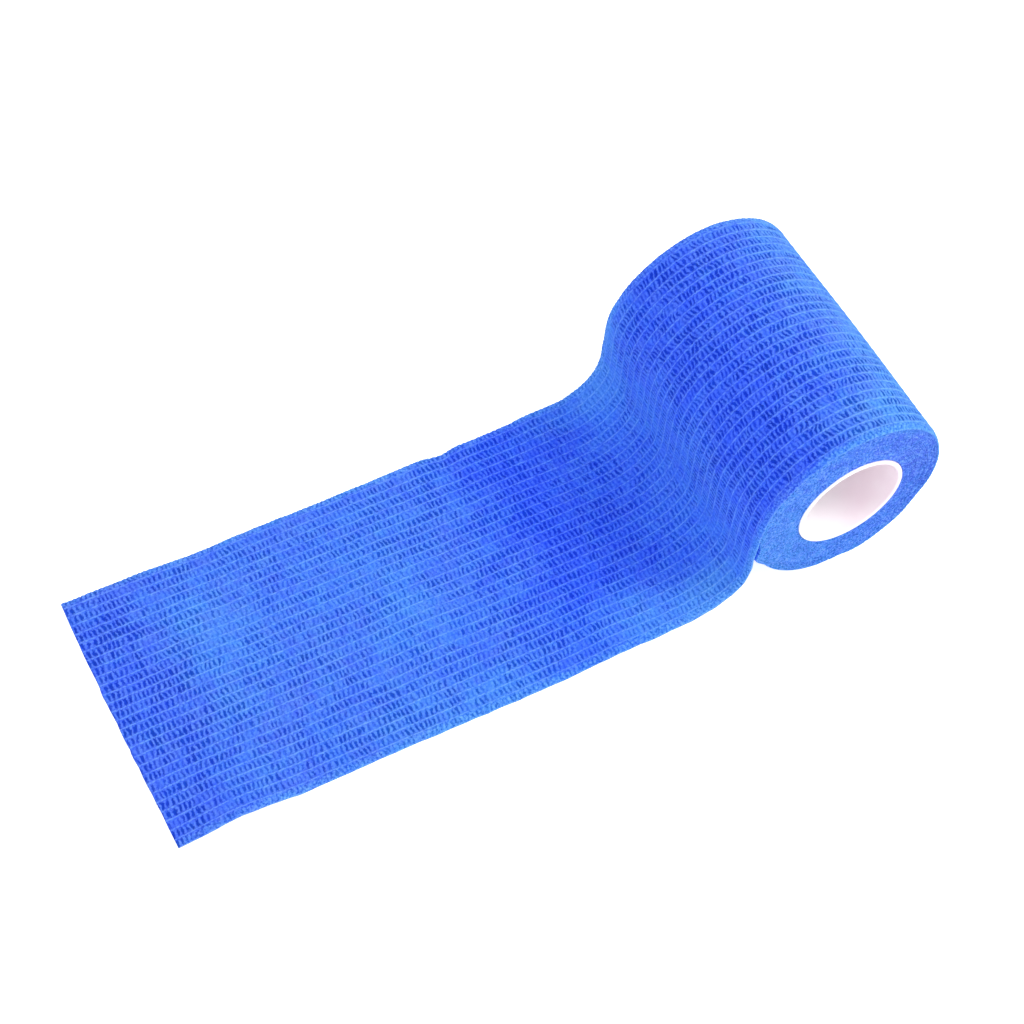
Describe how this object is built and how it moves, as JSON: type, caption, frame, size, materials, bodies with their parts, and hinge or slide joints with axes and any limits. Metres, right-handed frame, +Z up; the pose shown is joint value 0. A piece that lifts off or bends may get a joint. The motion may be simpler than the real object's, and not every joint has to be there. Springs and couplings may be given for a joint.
{
  "type": "cohesive bandage roll",
  "caption": "Roll of blue crinkled cohesive bandage on an open plastic core, its loose end swept down off the roll and laid flat in front.",
  "frame": {"origin": "on the surface the part rests on, under the middle of its overall box", "axes": "+X from the loose end towards the roll, +Y along the roll's core from its near end to its far end, +Z up"},
  "size_m": [0.2102, 0.0758, 0.0538],
  "materials": {
    "cloth": "matt crinkled non-woven cloth with fine elastic threads along it",
    "core_plastic": "smooth satin white plastic"
  },
  "bodies": {
    "root": {"core": "core_plastic", "roll": "cloth", "loose_end": "cloth"}
  },
  "joints": []
}
